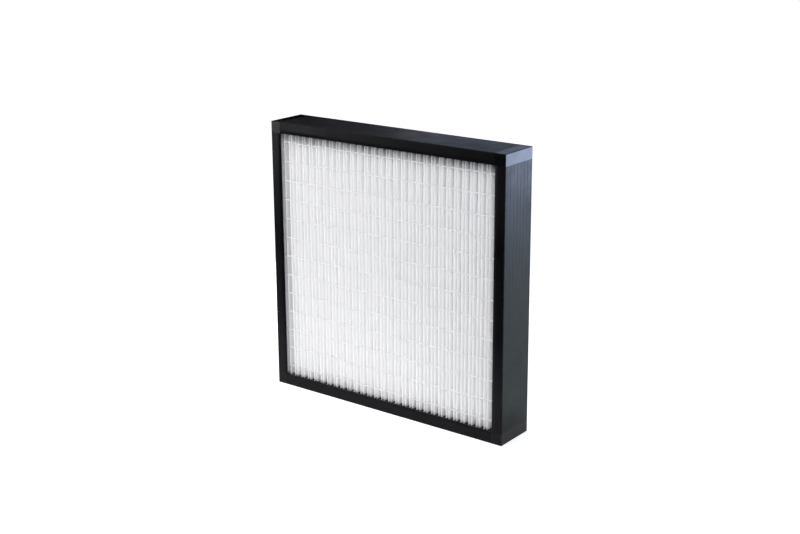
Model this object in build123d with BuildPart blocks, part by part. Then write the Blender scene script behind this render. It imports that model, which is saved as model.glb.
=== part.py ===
"""Pleated panel air filter: a folded media pack, cast into a frame of hollow plastic channels.

X runs across the face, Y from the front face to the back, Z up. The origin is on the
ground, under the middle of the filter. All sizes are in millimetres.
"""

import os

from build123d import *

# Overall size
width = 592.0
height = 592.0
depth = 96.0

# Frame channel: one extruded section with a twin-wall web and two flanges
flange_width = 25.0  # outer face of the web to the edge of the flange
flange_wall = 2.0
web_depth = 8.0  # both skins of the web and the chambers between them
skin = 1.5
rib_wall = 1.2  # ribs that join the two skins
rib_pitch = 12.0
outer_radius = 3.0
lip_reach = 9.0  # width of the rolled lip along each flange
lip_drop = 1.5  # how far the lip's edge falls behind the face
groove_width = 1.6  # sink line over each rib
groove_depth = 0.15

# Corner blocks: tongues that plug into two of the web's chambers
corner_radius = 1.5
tongue_inset = 1  # chambers between each tongue and the end of the row
tongue_length = 20.0
tongue_clearance = 0.15
tongue_chamfer = 1.0

# Media pack: one sheet, scored and folded
crest_recess = 9.0  # face of the frame to the crests of the folds
pleat_pitch = 9.3
pair_lean = 1.2  # crests lean towards each other in pairs
sheet_wall = 0.6
fold_gap = 0.6  # between the two flanks inside a fold

# Sealant that holds the pack in the channels
potting_drop = 3.0  # edge of the flange to the sealant's free surface
potting_under = 6.0  # sealant between the web and the end of the pack
side_bond_min = 5.0  # least thickness of the strips at the pack's sides

# Beads of hot-melt adhesive across the crests
bead_pitch = 42.0
bead_margin = 40.0  # least distance from the outer face to the first row
bead_height = 2.4
bead_proud = 1.0
bead_bevel = 0.7

# Counts and places that follow from the sizes above
rib_count = int(depth // rib_pitch)
chamber_count = rib_count - 1
chamber_height = web_depth - 2 * skin
chamber_width = rib_pitch - rib_wall
flange_clear = depth - 2 * flange_wall
pair_count = int((width - 2 * web_depth - 2 * side_bond_min) // (2 * pleat_pitch))
pack_width = pair_count * 2 * pleat_pitch
pack_depth = depth - 2 * crest_recess
pack_foot = web_depth + potting_under
potting_level = flange_width - potting_drop
bead_count = 1 + int((height - 2 * bead_margin) // bead_pitch)

mid_height = Plane.XY.offset(height / 2)

os.makedirs("parts", exist_ok=True)


def save(builder, node):
    """Label a finished piece and write it as the node's STEP file."""
    builder.part.label = node
    export_step(builder.part, f"parts/{node}.step")


def channel_section():
    """Section of the frame channel: X inward from the outer face, Y across the depth."""
    with BuildSketch() as section:
        with BuildLine():
            back = Polyline((0, 0), (0, depth / 2), (flange_width - lip_reach, depth / 2))
            roll = TangentArc(back @ 1, (flange_width, depth / 2 - lip_drop), tangent=(1, 0))
            edge = Line(roll @ 1, roll @ 1 + (roll % 1).rotate(Axis.Z, -90) * flange_wall)
            under = TangentArc(
                edge @ 1, (flange_width - lip_reach, flange_clear / 2), tangent=-(roll % 1)
            )
            Polyline(under @ 1, (web_depth, flange_clear / 2), (web_depth, 0))
            mirror(about=Plane.XZ)
        make_face()
        fillet(section.vertices().group_by(Axis.X)[0], outer_radius)
        with Locations((web_depth / 2, 0)):
            with GridLocations(0, rib_pitch, 1, chamber_count):
                Rectangle(chamber_height, chamber_width, mode=Mode.SUBTRACT)
        with GridLocations(0, rib_pitch, 1, rib_count):
            Polygon(
                (groove_depth, 0),
                (-groove_depth, groove_width),
                (-groove_depth, -groove_width),
                align=None,
                mode=Mode.SUBTRACT,
            )
    return section.sketch


# Frame channels. The bottom and left ones are drawn, and the others mirror them.
channel = channel_section()
bottom_start = Plane(
    origin=(-width / 2 + flange_width, 0, 0), x_dir=(0, 0, 1), z_dir=(1, 0, 0)
)
left_start = Plane(origin=(-width / 2, 0, flange_width), x_dir=(1, 0, 0), z_dir=(0, 0, 1))

with BuildPart() as profile_bottom:
    with BuildSketch(bottom_start):
        add(channel)
    extrude(amount=width - 2 * flange_width)
save(profile_bottom, "profile_bottom")

with BuildPart() as profile_top:
    mirror(profile_bottom.part, about=mid_height)
save(profile_top, "profile_top")

with BuildPart() as profile_left:
    with BuildSketch(left_start):
        add(channel)
    extrude(amount=height - 2 * flange_width)
save(profile_left, "profile_left")

with BuildPart() as profile_right:
    mirror(profile_left.part, about=Plane.YZ)
save(profile_right, "profile_right")

# Corner blocks. Each has two outer walls as thick as the web, a plate at the front and at
# the back, and a pocket between them for the end of the pack. Four tongues enter the
# chambers of the two channels that it joins.
tongue_spread = (chamber_count - 1 - 2 * tongue_inset) * rib_pitch
tongue_height = chamber_height - 2 * tongue_clearance
tongue_width = chamber_width - 2 * tongue_clearance

with BuildPart() as corner_bottom_left:
    with Locations((-width / 2, 0, 0)):
        Box(flange_width, depth, flange_width, align=(Align.MIN, Align.CENTER, Align.MIN))
    outer_edges = (
        edges().filter_by(Axis.X).group_by(Axis.Z)[0]
        + edges().filter_by(Axis.Z).group_by(Axis.X)[0]
        + edges().filter_by(Axis.Y).group_by(Axis.Z)[0].group_by(Axis.X)[0]
    )
    fillet(outer_edges, corner_radius)
    with Locations((-width / 2 + web_depth, 0, web_depth)):
        Box(
            flange_width,
            flange_clear,
            flange_width,
            align=(Align.MIN, Align.CENTER, Align.MIN),
            mode=Mode.SUBTRACT,
        )
    for start in (bottom_start, left_start):
        with BuildSketch(start):
            with Locations((web_depth / 2, 0)):
                with GridLocations(0, tongue_spread, 1, 2):
                    Rectangle(tongue_height, tongue_width)
        extrude(amount=tongue_length)
        tips = faces().group_by(Axis(start.origin, start.z_dir))[-1]
        chamfer(tips.edges(), tongue_chamfer)
save(corner_bottom_left, "corner_bottom_left")

with BuildPart() as corner_bottom_right:
    mirror(corner_bottom_left.part, about=Plane.YZ)
save(corner_bottom_right, "corner_bottom_right")

with BuildPart() as corner_top_left:
    mirror(corner_bottom_left.part, about=mid_height)
save(corner_top_left, "corner_top_left")

with BuildPart() as corner_top_right:
    mirror(corner_bottom_right.part, about=mid_height)
save(corner_top_right, "corner_top_right")

# Media pack. The sheet runs up one flank and down the next, with a narrow flat at each
# scored fold. Its two ends lie flat against the strips at the sides of the frame.
inner_half = fold_gap / 2
outer_half = inner_half + sheet_wall
front_crest = -pack_depth / 2
back_crest = pack_depth / 2
crest_x = []
for pair in range(pair_count):
    pair_middle = -pack_width / 2 + (2 * pair + 1) * pleat_pitch
    lean_in = pleat_pitch / 2 - pair_lean
    crest_x += [pair_middle - lean_in, pair_middle + lean_in]
crest_x[0] = -pack_width / 2 + outer_half
crest_x[-1] = pack_width / 2 - outer_half
valley_x = [-pack_width / 2 + pleat_pitch * number for number in range(1, len(crest_x))]


def sheet_side(front_half, front_y, back_half, back_y):
    """Points along one side of the folded sheet, from its left end to its right end."""
    points = [(crest_x[0] - front_half, back_crest)]
    for number, crest in enumerate(crest_x):
        points += [(crest - front_half, front_y), (crest + front_half, front_y)]
        if number < len(valley_x):
            valley = valley_x[number]
            points += [(valley - back_half, back_y), (valley + back_half, back_y)]
    points.append((crest_x[-1] + front_half, back_crest))
    return points


front_side = sheet_side(outer_half, front_crest, inner_half, back_crest - sheet_wall)
back_side = sheet_side(inner_half, front_crest + sheet_wall, outer_half, back_crest)

with BuildPart() as media_pack:
    with BuildSketch(Plane.XY.offset(pack_foot)):
        with BuildLine():
            Polyline(*front_side, *reversed(back_side), close=True)
        make_face()
    extrude(amount=height - 2 * pack_foot)
save(media_pack, "media_pack")

# Sealant. It is cast into the bottom and top channels around the ends of the pack, and
# fills them between the flanges up to its level. Thin strips bond the pack's two sides.
with BuildPart() as potting_bottom:
    cast_start = Plane(
        origin=(-width / 2 + web_depth, 0, 0), x_dir=(0, 0, 1), z_dir=(1, 0, 0)
    )
    with BuildSketch(cast_start):
        with Locations((web_depth, 0)):
            Rectangle(
                potting_level - web_depth, flange_clear, align=(Align.MIN, Align.CENTER)
            )
        add(channel, mode=Mode.SUBTRACT)
    extrude(amount=width - 2 * web_depth)
    add(media_pack.part, mode=Mode.SUBTRACT)
save(potting_bottom, "potting_bottom")

with BuildPart() as potting_top:
    mirror(potting_bottom.part, about=mid_height)
save(potting_top, "potting_top")

with BuildPart() as potting_left:
    with Locations((-width / 2 + web_depth, 0, height / 2)):
        Box(
            (width - pack_width) / 2 - web_depth,
            pack_depth,
            height - 2 * potting_level,
            align=(Align.MIN, Align.CENTER, Align.CENTER),
        )
save(potting_left, "potting_left")

with BuildPart() as potting_right:
    mirror(potting_left.part, about=Plane.YZ)
save(potting_right, "potting_right")

# Adhesive beads, a row at a time from the bottom. Each is a strand that was laid across
# the crests, bevelled on its free side, and the same rows hold the back of the pack.
for row in range(bead_count):
    row_z = height / 2 + (row - (bead_count - 1) / 2) * bead_pitch
    with BuildPart() as bead_front:
        with BuildSketch(Plane.YZ.offset(-pack_width / 2)) as strand:
            with Locations((front_crest, row_z)):
                Rectangle(bead_proud, bead_height, align=(Align.MAX, Align.CENTER))
            chamfer(strand.vertices().group_by(Axis.X)[0], bead_bevel)
        extrude(amount=pack_width)
    save(bead_front, f"bead_front_{row + 1:02d}")

    with BuildPart() as bead_back:
        mirror(bead_front.part, about=Plane.XZ)
    save(bead_back, f"bead_back_{row + 1:02d}")
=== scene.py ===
"""Pleated panel air filter, 592 x 592 x 96 mm, standing on a pale studio floor."""

import math

import bmesh
import bpy
from mathutils import Matrix, Vector, noise


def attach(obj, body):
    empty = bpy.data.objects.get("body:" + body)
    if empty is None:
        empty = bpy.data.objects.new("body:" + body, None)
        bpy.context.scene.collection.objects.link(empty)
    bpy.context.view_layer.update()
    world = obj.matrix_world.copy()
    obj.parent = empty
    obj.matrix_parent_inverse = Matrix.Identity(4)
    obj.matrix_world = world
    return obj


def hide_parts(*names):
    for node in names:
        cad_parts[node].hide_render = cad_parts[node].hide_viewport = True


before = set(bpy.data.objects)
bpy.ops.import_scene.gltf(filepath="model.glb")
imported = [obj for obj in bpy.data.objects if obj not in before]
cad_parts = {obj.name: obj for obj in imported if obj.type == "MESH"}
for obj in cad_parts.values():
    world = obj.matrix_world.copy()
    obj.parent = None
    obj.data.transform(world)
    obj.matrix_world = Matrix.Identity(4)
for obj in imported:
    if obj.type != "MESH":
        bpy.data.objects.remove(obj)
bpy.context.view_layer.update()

scene = bpy.context.scene
scene.view_settings.view_transform = "Standard"
scene.cycles.max_bounces = 24
scene.cycles.diffuse_bounces = 16
scene.cycles.transmission_bounces = 24
mm = 0.001

# Camera. It stands to the right of the filter's front, above its top edge, and looks down
# at it.
camera = bpy.data.objects.new("camera", bpy.data.cameras.new("camera"))
scene.collection.objects.link(camera)
camera.data.sensor_width = 36.0
camera.data.lens = 61.32
camera.data.shift_y = -0.04
camera.data.clip_end = 200.0
camera.location = (1.6482, -2.1569, 1.1207)
turn = Matrix.Rotation(math.radians(37.218), 3, "Z")
tilt = Matrix.Rotation(math.radians(90 - 15.316), 3, "X")
roll = Matrix.Rotation(math.radians(-0.318), 3, "Z")
camera.rotation_euler = (turn @ tilt @ roll).to_euler()
scene.camera = camera


def add_node(tree, kind, inputs=(), **settings):
    """Add a shader node with its settings, and with a value or a link for each input."""
    made = tree.nodes.new("ShaderNode" + kind)
    for name, value in settings.items():
        setattr(made, name, value)
    for name, value in dict(inputs).items():
        if isinstance(value, bpy.types.NodeSocket):
            tree.links.new(value, made.inputs[name])
        else:
            made.inputs[name].default_value = value
    return made


def combine(tree, kind, first, second):
    """Join two values with a math node."""
    return add_node(tree, "Math", {0: first, 1: second}, operation=kind).outputs[0]


def seen_ray(tree):
    """1 where a ray carries a view, straight, mirrored or through, and 0 where it lights."""
    ray = add_node(tree, "LightPath").outputs
    straight_or_mirrored = combine(tree, "MAXIMUM", ray["Is Camera Ray"], ray["Is Glossy Ray"])
    return combine(tree, "MAXIMUM", straight_or_mirrored, ray["Is Transmission Ray"])


def new_material(name):
    """A node material, with its tree and its Principled shader."""
    material = bpy.data.materials.new(name)
    material.use_nodes = True
    tree = material.node_tree
    return material, tree, tree.nodes["Principled BSDF"]


# Floor. A wide sweep of white studio card, which stays white to the camera and keeps the
# filter's soft shadow.
bpy.ops.object.select_all(action="DESELECT")
bpy.ops.mesh.primitive_plane_add(size=80.0)
floor = bpy.context.object
floor.name = "floor"
white_card, tree, shader = new_material("studio_card")
shader.inputs["Base Color"].default_value = (0.9, 0.9, 0.9, 1)
shader.inputs["Roughness"].default_value = 0.9
shader.inputs["Specular IOR Level"].default_value = 0.1
shader.inputs["Emission Color"].default_value = (1, 1, 1, 1)
lift = combine(tree, "MULTIPLY", seen_ray(tree), 0.8)
tree.links.new(lift, shader.inputs["Emission Strength"])
floor.data.materials.append(white_card)

# Room. It is white wherever it is seen, straight, mirrored or through something. What it
# sheds on the filter is dimmer and a little cool.
world = bpy.data.worlds.new("studio")
scene.world = world
world.use_nodes = True
tree = world.node_tree
sky = add_node(tree, "Mix", {"Factor": seen_ray(tree)}, data_type="RGBA")
sky.inputs[6].default_value = (0.29, 0.305, 0.33, 1)
sky.inputs[7].default_value = (1, 1, 1, 1)
tree.links.new(sky.outputs[2], tree.nodes["Background"].inputs["Color"])

# Soft boxes. The first four light the filter from the front, from behind and from low down.
# The last two are only mirrored: the plastic shows them at its left and on its right side.


def soft_box(name, place, target, size, watts, colour, mirrored):
    """A rectangular soft box that faces its target."""
    lamp = bpy.data.lights.new(name, "AREA")
    lamp.shape = "RECTANGLE"
    lamp.size, lamp.size_y = size
    lamp.energy = watts
    lamp.color = colour
    box = bpy.data.objects.new(name, lamp)
    scene.collection.objects.link(box)
    box.location = place
    box.rotation_euler = (Vector(target) - Vector(place)).to_track_quat("-Z", "Y").to_euler()
    box.visible_camera = False
    box.visible_glossy = mirrored
    box.visible_diffuse = not mirrored
    box.visible_transmission = not mirrored


soft_box("key", (-0.52, -0.78, 0.7), (-0.15, 0, 0.52), (0.45, 1.1), 4.9, (1.0, 0.98, 0.96), False)
soft_box("back", (-0.75, 0.75, 0.45), (-0.15, 0, 0.35), (0.6, 0.9), 5.0, (1.0, 0.99, 0.975), False)
soft_box("foot", (-0.05, -0.3, 0.03), (-0.05, 0, 0.05), (0.7, 0.05), 0.28, (1.0, 0.99, 0.98), False)
soft_box("shade", (1.5, -0.9, 0.5), (0.2, 0, 0.3), (0.8, 0.8), 0.8, (0.3, 0.6, 1.0), False)
soft_box("left", (-1.35, -1.15, 0.55), (-0.28, 0, 0.5), (0.5, 0.6), 6.0, (1.0, 0.99, 0.97), True)
soft_box("cool", (1.36, 1.69, 0.36), (0.3, 0, 0.4), (0.9, 0.74), 32, (0.58, 0.71, 1.0), True)

# Cards round the set. They show only where something glossy mirrors them. The black ones
# keep the frame's front and the left of its top dark, and the others tint its top and side.


def hidden_card(name, place, target, size, glow):
    """An evenly glowing card that faces its target and shows only in mirrored rays."""
    bpy.ops.object.select_all(action="DESELECT")
    bpy.ops.mesh.primitive_plane_add(size=1)
    card = bpy.context.object
    card.name = name
    card.scale = (*size, 1)
    card.location = place
    card.rotation_euler = (Vector(target) - Vector(place)).to_track_quat("Z", "Y").to_euler()
    even, tree, shader = new_material(name)
    shader.inputs["Base Color"].default_value = (0.0, 0.0, 0.0, 1)
    shader.inputs["Specular IOR Level"].default_value = 0.0
    shader.inputs["Emission Color"].default_value = (*glow, 1)
    shader.inputs["Emission Strength"].default_value = 1.0
    card.data.materials.append(even)
    card.visible_camera = False
    card.visible_diffuse = False
    card.visible_shadow = False
    card.visible_transmission = False


hidden_card("card_behind", (-3.4, 2.3, 1.8), (0, 0, 0.6), (3.0, 2.4), (0, 0, 0))
hidden_card("card_blue", (-1.57, 3.9, 1.8), (0, 0, 0.6), (2.0, 2.4), (0.4, 0.5, 0.7))
hidden_card("card_green", (0.82, 0.62, 0.01), (0.82, 0.62, 1.0), (1.0, 1.1), (1.6, 1.9, 1.9))
hidden_card("card_floor", (-0.5, -1.88, 0.01), (-0.5, -1.88, 1.0), (2.6, 3.05), (0, 0, 0))
hidden_card("card_far", (-0.8, -3.4, 1.2), (-0.8, 0.0, 1.2), (2.8, 2.4), (0, 0, 0))

# Frame channels. Each is one extruded length of black plastic: a twin-wall web across the
# depth of the filter, and two flanges with a rolled lip. All four are the same.
half_width = 296 * mm  # and half of the height
half_depth = 48 * mm
flange_width = 25 * mm
flange_wall = 2 * mm
web_depth = 8 * mm
skin = 1.5 * mm
half_rib = 0.6 * mm
rib_places = [y * mm for y in (-42, -30, -18, -6, 6, 18, 30, 42)]
half_groove = 0.8 * mm
groove_depth = 0.15 * mm
lip_start = 16 * mm
lip_radius = 27.75 * mm
lip_turn = math.radians(18.92)
outer_radius = 3 * mm
flange_inside = half_depth - flange_wall
channel_start = -half_width + flange_width
channel_length = 2 * (half_width - flange_width)
middle = Vector((0, 0, half_width))


def pick(kind, test):
    """Select the vertices, edges or faces whose middle passes the test, and nothing else."""
    bpy.ops.mesh.select_mode(type=kind)
    bpy.ops.mesh.select_all(action="DESELECT")
    mesh = bmesh.from_edit_mesh(bpy.context.object.data)
    items = {"VERT": mesh.verts, "EDGE": mesh.edges, "FACE": mesh.faces}[kind]
    for item in items:
        ends = [item.co] if kind == "VERT" else [v.co for v in item.verts]
        if test(sum(ends, Vector()) / len(ends), ends):
            item.select_set(True)
    mesh.select_flush_mode()
    bmesh.update_edit_mesh(bpy.context.object.data)


def near(value, target):
    """True if two measures are the same to 0.02 mm."""
    return abs(value - target) < 0.02 * mm


def same(ends, axis, target):
    """True if all the ends have this coordinate, so that an edge or face lies in the plane."""
    return all(near(end[axis], target) for end in ends)


def slice_at(axis, place):
    """Cut what is selected with a plane across the axis, and leave it selected."""
    normal = [0.0, 0.0, 0.0]
    normal[axis] = 1.0
    bpy.ops.mesh.bisect(plane_co=Vector(normal) * place, plane_no=normal)


def nearest_rib(y):
    """How far a depth is from the middle of the nearest rib."""
    return min(abs(y - rib) for rib in rib_places)


# The section of the die, drawn at the left end of the bottom channel
bpy.ops.mesh.primitive_plane_add(
    size=1, location=(channel_start, 0, web_depth / 2), rotation=(0, math.pi / 2, 0)
)
channel = bpy.context.object
channel.scale = (web_depth, 2 * half_depth, 1)
bpy.ops.object.transform_apply(location=True, rotation=True, scale=True)
bpy.ops.object.mode_set(mode="EDIT")
for height in (skin, web_depth - skin):
    bpy.ops.mesh.select_all(action="SELECT")
    slice_at(2, height)
cuts = [-flange_inside, flange_inside]
for rib in rib_places:
    cuts += [rib + step for step in (-half_groove, -half_rib, 0, half_rib, half_groove)]
for depth in cuts:
    bpy.ops.mesh.select_all(action="SELECT")
    slice_at(1, depth)
pick(
    "FACE",
    lambda m, ends: skin < m.z < web_depth - skin
    and abs(m.y) < rib_places[-1] - half_rib
    and nearest_rib(m.y) > half_rib,
)
bpy.ops.mesh.delete(type="FACE")
pick("VERT", lambda m, ends: near(m.z, 0) and near(nearest_rib(m.y), 0))
bpy.ops.transform.translate(value=(0, 0, groove_depth))
pick("EDGE", lambda m, ends: near(m.z, web_depth) and abs(m.y) > flange_inside)
bpy.ops.mesh.extrude_edges_move(TRANSFORM_OT_translate={"value": (0, 0, lip_start - web_depth)})
for face in (-1, 1):
    pick("EDGE", lambda m, ends: near(m.z, lip_start) and m.y * face > 0)
    bpy.ops.mesh.spin(
        steps=6,
        angle=-face * lip_turn,
        center=(0, face * (half_depth - lip_radius), lip_start),
        axis=(1, 0, 0),
    )
pick("VERT", lambda m, ends: near(m.z, 0) and near(abs(m.y), half_depth))
bpy.ops.mesh.bevel(offset=outer_radius, segments=5, affect="VERTICES")
pick("VERT", lambda m, ends: m.z > flange_width - 1 * mm)
bpy.ops.mesh.bevel(offset=0.5 * mm, segments=2, affect="VERTICES")

# The extrusion. Its flat faces are shaded flat, and the lip and the edges smooth.
bpy.ops.mesh.select_all(action="SELECT")
bpy.ops.mesh.extrude_region_move(TRANSFORM_OT_translate={"value": (channel_length, 0, 0)})
bpy.ops.mesh.select_all(action="SELECT")
bpy.ops.mesh.normals_make_consistent(inside=False)
bpy.ops.object.mode_set(mode="OBJECT")
bpy.ops.object.shade_smooth_by_angle(angle=math.radians(28))
flat_faces = channel.modifiers.new("flat_faces", "WEIGHTED_NORMAL")
flat_faces.keep_sharp = True
bpy.ops.object.modifier_apply(modifier=flat_faces.name)


def turned_copy(piece, name, quarters):
    """A copy with its own mesh, turned by quarter turns round the middle of the filter."""
    copy = piece.copy()
    copy.data = piece.data.copy()
    scene.collection.objects.link(copy)
    copy.name = copy.data.name = name
    spin = Matrix.Rotation(math.radians(90 * quarters), 4, "Y")
    copy.data.transform(Matrix.Translation(middle) @ spin @ Matrix.Translation(-middle))
    return copy


# The plastic's finish, which the channels and the corner blocks share: fine lines from the
# die or a moulded grain, dull handling marks, and pale wear along the outer edges.
finish = bpy.data.node_groups.new("plastic_finish", "ShaderNodeTree")
for name, kind in (
    ("Colour", "NodeSocketColor"),
    ("Worn Colour", "NodeSocketColor"),
    ("Lines", "NodeSocketVector"),
    ("Line Depth", "NodeSocketFloat"),
    ("Grain Scale", "NodeSocketFloat"),
    ("Roughness", "NodeSocketFloat"),
    ("Wear", "NodeSocketFloat"),
):
    finish.interface.new_socket(name, in_out="INPUT", socket_type=kind)
for name, kind in (
    ("Colour", "NodeSocketColor"),
    ("Roughness", "NodeSocketFloat"),
    ("Height", "NodeSocketFloat"),
):
    finish.interface.new_socket(name, in_out="OUTPUT", socket_type=kind)
given = finish.nodes.new("NodeGroupInput").outputs
result = finish.nodes.new("NodeGroupOutput").inputs
where = add_node(finish, "TexCoord").outputs["Object"]


def ramp(tree, value, low, high, to_low=0.0, to_high=1.0):
    """Spread a value from one range to another, and keep it there."""
    ends = {"Value": value, "From Min": low, "From Max": high, "To Min": to_low, "To Max": to_high}
    return add_node(tree, "MapRange", ends).outputs[0]


def speckle(tree, place, scale, detail=2.0, roughness=0.5):
    """Noise of one size over the surface."""
    settings = {"Vector": place, "Scale": scale, "Detail": detail, "Roughness": roughness}
    return add_node(tree, "TexNoise", settings).outputs[0]


drawn = add_node(finish, "VectorMath", {0: where, 1: given["Lines"]}, operation="MULTIPLY")
fine_lines = speckle(finish, drawn.outputs[0], 1.0, 3.0, 0.65)
grain = speckle(finish, where, given["Grain Scale"], 1.0)
smudge = speckle(finish, where, 11.0, 5.0, 0.6)
chips = speckle(finish, where, 240.0, 3.0, 0.7)
axes = add_node(finish, "SeparateXYZ", {0: where}).outputs
up = combine(finish, "ABSOLUTE", combine(finish, "SUBTRACT", axes["Z"], middle.z), 0.0)
out = combine(finish, "MAXIMUM", combine(finish, "ABSOLUTE", axes["X"], 0.0), up)
forward = combine(finish, "ABSOLUTE", axes["Y"], 0.0)
at_face = ramp(finish, forward, half_depth - 1.6 * mm, half_depth - 0.1 * mm)
at_side = ramp(finish, out, half_width - 1.6 * mm, half_width - 0.1 * mm)
edge = combine(finish, "MULTIPLY", at_face, at_side)
worn = combine(finish, "MULTIPLY", edge, ramp(finish, chips, 0.42, 0.62))
worn = combine(finish, "MULTIPLY", worn, given["Wear"])
dull = ramp(finish, smudge, 0.35, 0.7, -0.05, 0.12)
mixed = add_node(finish, "Mix", data_type="RGBA")
finish.links.new(worn, mixed.inputs["Factor"])
finish.links.new(given["Colour"], mixed.inputs[6])
finish.links.new(given["Worn Colour"], mixed.inputs[7])
finish.links.new(mixed.outputs[2], result["Colour"])
rough = combine(finish, "ADD", combine(finish, "ADD", given["Roughness"], dull), worn)
finish.links.new(rough, result["Roughness"])
line_height = combine(finish, "MULTIPLY", fine_lines, given["Line Depth"])
finish.links.new(combine(finish, "ADD", line_height, grain), result["Height"])


def black_plastic(name, colour, lines, line_depth, grain_scale, roughness, shine, wear):
    """Black plastic with the shared finish."""
    material, tree, shader = new_material(name)
    group = add_node(tree, "Group", node_tree=finish)
    values = {
        "Colour": (*colour, 1),
        "Worn Colour": (0.09, 0.095, 0.1, 1),
        "Lines": lines,
        "Line Depth": line_depth,
        "Grain Scale": grain_scale,
        "Roughness": roughness,
        "Wear": wear,
    }
    for socket, value in values.items():
        group.inputs[socket].default_value = value
    tree.links.new(group.outputs["Colour"], shader.inputs["Base Color"])
    tree.links.new(group.outputs["Roughness"], shader.inputs["Roughness"])
    bump = add_node(
        tree, "Bump", {"Height": group.outputs["Height"], "Strength": 0.6, "Distance": 0.03 * mm}
    )
    tree.links.new(bump.outputs[0], shader.inputs["Normal"])
    shader.inputs["Specular IOR Level"].default_value = shine
    return material


level_plastic = black_plastic(
    "frame_plastic_level", (0.002, 0.002, 0.0035), (3, 900, 900), 1.5, 2400, 0.36, 0.1, 0.5
)
upright_plastic = black_plastic(
    "frame_plastic_upright", (0.002, 0.002, 0.0035), (900, 900, 3), 1.5, 2400, 0.36, 0.1, 0.5
)

# The four channels, each the same length turned to its side
for quarters, place in enumerate(("bottom", "left", "top", "right")):
    length = turned_copy(channel, f"channel_{place}", quarters)
    length.data.materials.append(level_plastic if place in ("bottom", "top") else upright_plastic)
    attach(length, "root")
    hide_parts(f"profile_{place}")
bpy.data.objects.remove(channel)

# Corner blocks. Each is moulded black plastic, with the outer walls of two channels in one
# piece, a plate at the front and back, and four tongues that plug into the channels.
block_middle = flange_width / 2
pocket_size = 40 * mm
pocket_middle = web_depth + pocket_size / 2
tongue_under = skin + 0.15 * mm
tongue_middle = 24 * mm
tongue_half = 5.25 * mm
tongue_length = 20 * mm
bpy.ops.object.select_all(action="DESELECT")
bpy.ops.mesh.primitive_cube_add(size=1, location=(-half_width + block_middle, 0, block_middle))
block = bpy.context.object
block.scale = (flange_width, 2 * half_depth, flange_width)
bpy.ops.object.transform_apply(location=True, rotation=True, scale=True)
bpy.ops.object.mode_set(mode="EDIT")
pick(
    "EDGE",
    lambda m, ends: (near(m.z, 0) or near(m.x, -half_width))
    and not near(m.x, channel_start)
    and not near(m.z, flange_width),
)
bpy.ops.mesh.bevel(offset=1.5 * mm, segments=4, affect="EDGES")
pick(
    "EDGE",
    lambda m, ends: (same(ends, 0, channel_start) and not near(m.z, flange_width))
    or (same(ends, 2, flange_width) and not near(m.x, channel_start)),
)
bpy.ops.mesh.bevel(offset=0.35 * mm, segments=2, affect="EDGES")
bpy.ops.object.mode_set(mode="OBJECT")

# The pocket for the end of the pack
bpy.ops.mesh.primitive_cube_add(size=1, location=(-half_width + pocket_middle, 0, pocket_middle))
pocket = bpy.context.object
pocket.scale = (pocket_size, 2 * flange_inside, pocket_size)
bpy.ops.object.transform_apply(location=True, rotation=True, scale=True)
bpy.ops.object.select_all(action="DESELECT")
block.select_set(True)
bpy.context.view_layer.objects.active = block
hollow = block.modifiers.new("pocket", "BOOLEAN")
hollow.object = pocket
hollow.operation = "DIFFERENCE"
hollow.solver = "EXACT"
bpy.ops.object.modifier_apply(modifier=hollow.name)
bpy.data.objects.remove(pocket)

# The tongues, two along the bottom channel and two up the left one
bpy.ops.object.mode_set(mode="EDIT")
for along, across, start in ((0, 2, channel_start), (2, 0, flange_width)):
    wall = 0 if across == 2 else -half_width
    for axis, place in (
        (across, wall + tongue_under),
        (across, wall + web_depth - tongue_under),
        (1, -tongue_middle - tongue_half),
        (1, -tongue_middle + tongue_half),
        (1, tongue_middle - tongue_half),
        (1, tongue_middle + tongue_half),
    ):
        pick("FACE", lambda m, ends: same(ends, along, start))
        slice_at(axis, place)
    pick(
        "FACE",
        lambda m, ends: same(ends, along, start)
        and tongue_under < m[across] - wall < web_depth - tongue_under
        and abs(abs(m.y) - tongue_middle) < tongue_half,
    )
    reach = [0.0, 0.0, 0.0]
    reach[along] = tongue_length
    bpy.ops.mesh.extrude_region_move(TRANSFORM_OT_translate={"value": reach})
    pick("EDGE", lambda m, ends: same(ends, along, start + tongue_length))
    bpy.ops.mesh.bevel(offset=1 * mm, segments=1, affect="EDGES")
bpy.ops.mesh.select_all(action="SELECT")
bpy.ops.mesh.normals_make_consistent(inside=False)
bpy.ops.object.mode_set(mode="OBJECT")
bpy.ops.object.shade_smooth_by_angle(angle=math.radians(32))
flat_faces = block.modifiers.new("flat_faces", "WEIGHTED_NORMAL")
flat_faces.keep_sharp = True
bpy.ops.object.modifier_apply(modifier=flat_faces.name)

moulded = black_plastic(
    "corner_plastic", (0.003, 0.003, 0.004), (1, 1, 1), 0.0, 1500, 0.2, 0.12, 0.6
)
corners = ("bottom_left", "top_left", "top_right", "bottom_right")
for quarters, place in enumerate(corners):
    corner = turned_copy(block, f"corner_block_{place}", quarters)
    corner.data.materials.append(moulded)
    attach(corner, "root")
    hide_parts(f"corner_{place}")
bpy.data.objects.remove(block)

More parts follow.
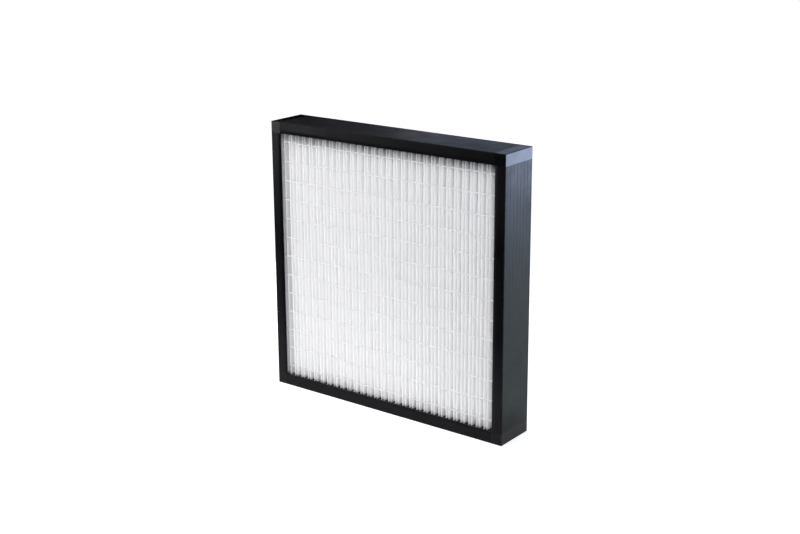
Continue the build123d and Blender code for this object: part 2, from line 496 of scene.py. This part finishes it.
# Media pack. One sheet of glass-fibre paper, scored and folded into sixty deep pleats. The
# crests lean together in pairs, and the sheet wanders a little away from its bonded ends.
sheet_wall = 0.6 * mm
half_flat = 0.6 * mm  # half of the flat that each crest has
pair_count = 30
pair_pitch = 18.6 * mm
half_pair = 3.45 * mm  # middle of a pair to its crests
pair_side = pair_pitch / 2 - half_pair  # crest to the end of its pair
pack_half = 279 * mm
pack_left = -pack_half
pack_foot = 14 * mm
pack_head = 2 * half_width - pack_foot
crest_y = 38.7 * mm  # middle of the sheet at its crests
pair_shift = 1.1 * mm  # paired crests, away from each other at mid height
side_shift = 2 * mm  # second crest from each side, outwards
first_shift = 2.6 * mm  # first crest from each side, outwards
end_flank = 5.8 * mm  # from the side of the pack, past all of the flank that ends it
second_flank = 9 * mm  # from the side of the pack, past its first crest and second flank
folds = [
    # along the pair and across the depth, in mm, down the middle of the sheet
    (0.6, 38.7),
    (5.25, -38.25),
    (5.85, -38.7),
    (6.45, -38.25),
    (8.7, 38.7),
    (9.9, 38.7),
    (12.15, -38.25),
    (12.75, -38.7),
    (13.35, -38.25),
    (18.0, 38.7),
    (18.6, 38.7),
]
bpy.ops.object.select_all(action="DESELECT")
bpy.ops.mesh.primitive_plane_add(
    size=1, location=(pack_left + half_flat / 2, crest_y, half_width), rotation=(math.pi / 2, 0, 0)
)
pleats = bpy.context.object
pleats.scale = (half_flat, pack_head - pack_foot, 1)
bpy.ops.object.transform_apply(location=True, rotation=True, scale=True)
bpy.ops.object.mode_set(mode="EDIT")
pick("EDGE", lambda m, ends: same(ends, 0, pack_left + half_flat))
for (x, y), (next_x, next_y) in zip(folds, folds[1:]):
    step = ((next_x - x) * mm, (next_y - y) * mm, 0)
    bpy.ops.mesh.extrude_edges_move(TRANSFORM_OT_translate={"value": step})
for depth in (-33, -24, -8, 14):
    bpy.ops.mesh.select_all(action="SELECT")
    slice_at(1, depth * mm)
pick("EDGE", lambda m, ends: abs(ends[0].z - ends[1].z) > 100 * mm)
bpy.ops.mesh.subdivide(number_cuts=36)
bpy.ops.object.mode_set(mode="OBJECT")


def repeat_pairs(piece, count, merged):
    """Repeat one pair's worth of a piece across the pack."""
    pairs = piece.modifiers.new("pairs", "ARRAY")
    pairs.count = count
    pairs.use_relative_offset = False
    pairs.use_constant_offset = True
    pairs.constant_offset_displace = (pair_pitch, 0, 0)
    pairs.use_merge_vertices = merged
    pairs.merge_threshold = 0.01 * mm
    bpy.ops.object.modifier_apply(modifier=pairs.name)


repeat_pairs(pleats, pair_count, True)
bpy.ops.object.mode_set(mode="EDIT")
pick("FACE", lambda m, ends: abs(m.x) > pack_half - half_flat)
bpy.ops.mesh.delete(type="FACE")
bpy.ops.object.mode_set(mode="OBJECT")


def smooth(value):
    """Ease a value that runs from 0 to 1."""
    value = max(0.0, min(1.0, value))
    return value * value * (3 - 2 * value)


def spread(x, height):
    """How far a crest stands from its place at the bonded ends of the pack.

    At mid height the pairs are less marked. The second crest from each side stands further
    out all the way up. What lies between two crests moves in proportion.
    """
    side = pack_half - abs(x)
    if side < pair_pitch:
        past_crest = pair_side + 2 * half_pair - side
        share = 1 - abs(past_crest) / (2 * half_pair if past_crest > 0 else pair_side)
        return math.copysign(side_shift * share, x)
    from_pair = ((x - pack_left) / pair_pitch % 1.0 - 0.5) * pair_pitch
    past_crest = abs(from_pair) - half_pair
    share = 1 - abs(past_crest) / (half_pair if past_crest < 0 else pair_side)
    over_foot = smooth((height - flange_width) / (50 * mm))
    under_head = smooth((2 * half_width - flange_width - height) / (150 * mm))
    return math.copysign(pair_shift, from_pair) * over_foot * under_head * share


for vertex in pleats.data.vertices:
    place = vertex.co
    forward = (crest_y - place.y) / (2 * crest_y)
    side = pack_half - abs(place.x)
    if side < end_flank:
        # the end flank, flat against the strip at the side
        place.x = math.copysign(pack_half - sheet_wall / 2, place.x)
        continue
    if side < second_flank:
        # the first crest and the second flank, drawn towards the end one
        place.x += math.copysign(first_shift * min(1.0, forward), place.x)
        continue
    from_end = min(place.z - pack_foot, pack_head - place.z)
    free = smooth((from_end - 8 * mm) / (60 * mm)) * smooth((side - second_flank) / (30 * mm))
    wave = noise.noise(Vector((place.x / (32 * mm), place.y / (90 * mm), place.z / (46 * mm))))
    drift = noise.noise(Vector((place.x / (110 * mm) + 7, 3.0, place.z / (210 * mm))))
    place.x += spread(place.x, place.z) * forward
    place.x += free * mm * (0.6 * wave + drift * forward)

paper = pleats.modifiers.new("paper", "SOLIDIFY")
paper.thickness = sheet_wall
paper.offset = 0.0
bpy.ops.object.modifier_apply(modifier=paper.name)
bpy.ops.object.mode_set(mode="EDIT")
bpy.ops.mesh.select_all(action="SELECT")
bpy.ops.mesh.normals_make_consistent(inside=False)
bpy.ops.object.mode_set(mode="OBJECT")
bpy.ops.object.shade_smooth_by_angle(angle=math.radians(50))
pleats.name = pleats.data.name = "media_pleats"


def let_light_through(tree, shader, colour, part):
    """Let part of the light through a thin, pale material."""
    through = add_node(tree, "BsdfTranslucent", {"Color": colour})
    blend = add_node(tree, "MixShader", {0: part, 1: shader.outputs[0], 2: through.outputs[0]})
    tree.links.new(blend.outputs[0], tree.nodes["Material Output"].inputs["Surface"])


# The paper: white, matt and fibrous. Under the top channel its colour is darkened, for resin
# soaked into it and as painted shade for the channel's shadow: further down one fold than the
# next, and more in the gaps than on the crests.
paper_white, tree, shader = new_material("glass_paper")
shader.inputs["Roughness"].default_value = 0.85
shader.inputs["Specular IOR Level"].default_value = 0.3
where = add_node(tree, "TexCoord").outputs["Object"]
mottle = ramp(tree, speckle(tree, where, 260.0, 3.0, 0.6), 0.3, 0.7)
tone = add_node(tree, "Mix", {"Factor": mottle}, data_type="RGBA")
tone.inputs[6].default_value = (0.992, 0.9915, 0.993, 1)
tone.inputs[7].default_value = (0.997, 0.9965, 0.998, 1)
axes = add_node(tree, "SeparateXYZ", {0: where}).outputs
upright = add_node(tree, "VectorMath", {0: where, 1: (1.0, 0.3, 0.1)}, operation="MULTIPLY")
uneven = speckle(tree, upright.outputs[0], 130.0, 3.0, 0.6)
level = combine(tree, "ADD", axes["Z"], combine(tree, "MULTIPLY", uneven, 20 * mm))
# Painted shade: the paper's colour darkens under the top channel for its shadow, as well as for
# soaked-in resin.
near_top = combine(tree, "POWER", ramp(tree, level, 544 * mm, 588 * mm), 2.6)
from_middle = combine(tree, "ABSOLUTE", axes["Y"], 0.0)
inside = ramp(tree, from_middle, 38 * mm, 24 * mm, 0.6, 1.0)
soak_and_shade = combine(tree, "MULTIPLY", near_top, inside)
stain_and_shade = add_node(tree, "Mix", {"Factor": soak_and_shade, 6: tone.outputs[2]}, data_type="RGBA")
stain_and_shade.inputs[7].default_value = (0.05, 0.05, 0.055, 1)
tree.links.new(stain_and_shade.outputs[2], shader.inputs["Base Color"])
fibres = speckle(tree, where, 1800.0, 2.0, 0.6)
bump = add_node(tree, "Bump", {"Height": fibres, "Strength": 0.4, "Distance": 0.05 * mm})
tree.links.new(bump.outputs[0], shader.inputs["Normal"])
let_light_through(tree, shader, stain_and_shade.outputs[2], 0.62)
pleats.data.materials.append(paper_white)
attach(pleats, "root")
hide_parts("media_pack")

# Adhesive beads. Hot melt is laid across the crests in thirteen rows at the front and the
# back. It sinks into the wide gaps, and is drawn thin over each crest.
row_count = 13
row_pitch = 42 * mm
first_row = 44 * mm
fixed_end = 6 * mm  # what stays in place at each end of a row
stations = [
    # in mm: along the pair, middle's depth, half depth, half height, reach into the gap
    (0.0, 38.1, 0.8, 0.75, 4.2),
    (2.4, 38.3, 0.85, 0.85, 4.0),
    (4.2, 38.75, 0.8, 1.0, 2.6),
    (5.0, 39.1, 0.5, 0.7, 0.6),
    (5.85, 39.3, 0.3, 0.4, 0.0),
    (6.7, 39.05, 0.4, 0.5, 0.4),
    (7.7, 38.5, 0.5, 0.6, 2.0),
    (9.3, 38.0, 0.5, 0.55, 2.4),
]
stations += [(18.6 - x, *rest) for x, *rest in reversed(stations[:-1])]
bpy.ops.object.select_all(action="DESELECT")
bpy.ops.mesh.primitive_cylinder_add(
    vertices=8,
    radius=1 * mm,
    depth=pair_pitch,
    end_fill_type="NOTHING",
    location=(pack_left + pair_pitch / 2, 0, 0),
    rotation=(0, math.pi / 2, 0),
)
strand = bpy.context.object
bpy.ops.object.transform_apply(location=True, rotation=True, scale=True)
bpy.ops.object.mode_set(mode="EDIT")
for x, *rest in stations[1:-1]:
    bpy.ops.mesh.select_all(action="SELECT")
    slice_at(0, pack_left + x * mm)
for x, depth, half_thick, half_height, dip in stations:
    at = pack_left + x * mm
    pick("VERT", lambda m, ends: near(m.x, at) and m.y > 0.5 * mm)
    bpy.ops.transform.translate(value=(0, dip * mm, 0))
    pick("VERT", lambda m, ends: near(m.x, at))
    bpy.ops.transform.resize(value=(1, half_thick, half_height), center_override=(at, 0, 0))
    bpy.ops.transform.translate(value=(0, -depth * mm, 0))
bpy.ops.object.mode_set(mode="OBJECT")
repeat_pairs(strand, pair_count, True)
bpy.ops.object.mode_set(mode="EDIT")
pick("EDGE", lambda m, ends: near(abs(m.x), pack_half))
bpy.ops.mesh.edge_face_add()
bpy.ops.mesh.select_all(action="SELECT")
bpy.ops.mesh.normals_make_consistent(inside=False)
bpy.ops.object.mode_set(mode="OBJECT")
bpy.ops.object.shade_smooth_by_angle(angle=math.radians(60))

# Milky hot melt, pale enough to vanish against the paper
milky, tree, shader = new_material("hot_melt")
where = add_node(tree, "TexCoord").outputs["Object"]
cloud = ramp(tree, speckle(tree, where, 160.0), 0.35, 0.65)
tone = add_node(tree, "Mix", {"Factor": cloud}, data_type="RGBA")
tone.inputs[6].default_value = (0.95, 0.953, 0.957, 1)
tone.inputs[7].default_value = (0.975, 0.978, 0.982, 1)
tree.links.new(tone.outputs[2], shader.inputs["Base Color"])
shader.inputs["Roughness"].default_value = 0.35
let_light_through(tree, shader, tone.outputs[2], 0.65)
strand.data.materials.append(milky)

for number in range(1, row_count + 1):
    for face in ("front", "back"):
        row = strand.copy()
        row.data = strand.data.copy()
        scene.collection.objects.link(row)
        row.name = row.data.name = f"bead_row_{face}_{number:02d}"
        height = first_row + row_pitch * (number - 1)
        if face == "back":
            row.data.transform(Matrix.Rotation(math.pi, 4, "Z"))
        for vertex in row.data.vertices:
            place = vertex.co
            swell = noise.noise(Vector((place.x / (6 * mm), number * 3.7, len(face))))
            wander = noise.noise(Vector((place.x / (60 * mm), number * 5.1, len(face))))
            if abs(place.x) < pack_half - fixed_end:
                place.x += spread(place.x, height)
            place.z *= 1 + 0.35 * swell
            place.z += height + 0.5 * mm * wander
        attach(row, "root")
        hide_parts(f"bead_{face}_{number:02d}")
bpy.data.objects.remove(strand)

# Sealing resin. Black casting resin fills the bottom and top channels round the ends of the
# pack, and creeps up into the gaps between the pleats before it sets. The dark wedges in the
# gaps are that creep and painted shade together, the shade most of all under the top channel.
resin, tree, shader = new_material("casting_resin")
where = add_node(tree, "TexCoord").outputs["Object"]
shader.inputs["Base Color"].default_value = (0.028, 0.029, 0.034, 1)
shader.inputs["Specular IOR Level"].default_value = 0.3
patchy = ramp(tree, speckle(tree, where, 90.0), 0.3, 0.7, 0.3, 0.5)
tree.links.new(patchy, shader.inputs["Roughness"])
for node in ("potting_bottom", "potting_top"):
    cast = bpy.data.objects[node]
    cast.data.materials.clear()
    cast.data.materials.append(resin)

wedge_foot = 21 * mm  # just under the free surface of the resin
wedge_y = -34 * mm
wedge_depth = 9 * mm


def creep_and_shade_row(width, along, rise, count, shape):
    """Resin wedges, creep and painted shade, in every second gap. They narrow and lean back as they
    rise.
    """
    x = pack_left + along
    bpy.ops.object.select_all(action="DESELECT")
    bpy.ops.mesh.primitive_cube_add(size=1, location=(x, wedge_y, wedge_foot + rise / 2))
    wedge = bpy.context.object
    wedge.scale = (width, wedge_depth, rise)
    bpy.ops.object.transform_apply(location=True, rotation=True, scale=True)
    bpy.ops.object.mode_set(mode="EDIT")
    for share, *rest in shape[1:-1]:
        bpy.ops.mesh.select_all(action="SELECT")
        slice_at(2, wedge_foot + rise * share)
    for share, thin, back in shape:
        level = wedge_foot + rise * share
        pick("VERT", lambda m, ends: near(m.z, level))
        bpy.ops.transform.resize(value=(thin, 1, 1), center_override=(x, 0, 0))
        pick("VERT", lambda m, ends: near(m.z, level) and m.y < wedge_y)
        bpy.ops.transform.translate(value=(0, back * mm, 0))
    bpy.ops.object.mode_set(mode="OBJECT")
    repeat_pairs(wedge, count, False)
    return wedge


# Wide wedges stand in the wide gaps between pairs, and narrow ones inside the pairs. Each
# row gives its width, place and rise in mm, and the number of its wedges. A shape gives,
# from root to tip, the share of the rise, the share of the width and the lean in mm.
low = ((0.0, 1.0, 0.0), (0.2, 0.6, 0.8), (0.5, 0.3, 2.0), (1.0, 0.06, 5.0))
high = ((0.0, 1.0, 0.5), (0.25, 0.8, 1.5), (0.55, 0.5, 3.5), (1.0, 0.08, 8.0))
for end, quarters, rows, shape in (
    ("bottom", 0, ((3.0, 18.6, 3.6, 29), (1.5, 9.3, 2.4, 30)), low),
    # The top rows rise far higher than the bottom ones: the extra height is painted shade for the
    # gaps in the top channel's shadow.
    ("top", 2, ((7.0, 18.6, 12.0, 29), (3.4, 9.3, 8.0, 30)), high),
):
    wedges = [
        creep_and_shade_row(width * mm, along * mm, rise * mm, count, shape)
        for width, along, rise, count in rows
    ]
    bpy.ops.object.select_all(action="DESELECT")
    for wedge in wedges:
        wedge.select_set(True)
    bpy.context.view_layer.objects.active = wedges[0]
    bpy.ops.object.join()
    creep_and_shade = bpy.context.object
    creep_and_shade.data.materials.append(resin)
    for face, half_turns in (("front", 0), ("back", 1)):
        fringe_and_shade = turned_copy(creep_and_shade, f"sealant_{end}_{face}", quarters)
        fringe_and_shade.data.transform(Matrix.Rotation(math.pi * half_turns, 4, "Z"))
        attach(fringe_and_shade, "root")
    bpy.data.objects.remove(creep_and_shade)

# Side strips. White hot melt bonds the first and the last flank to the upright channels.
for node in ("potting_left", "potting_right"):
    strip = bpy.data.objects[node]
    strip.data.materials.clear()
    strip.data.materials.append(milky)
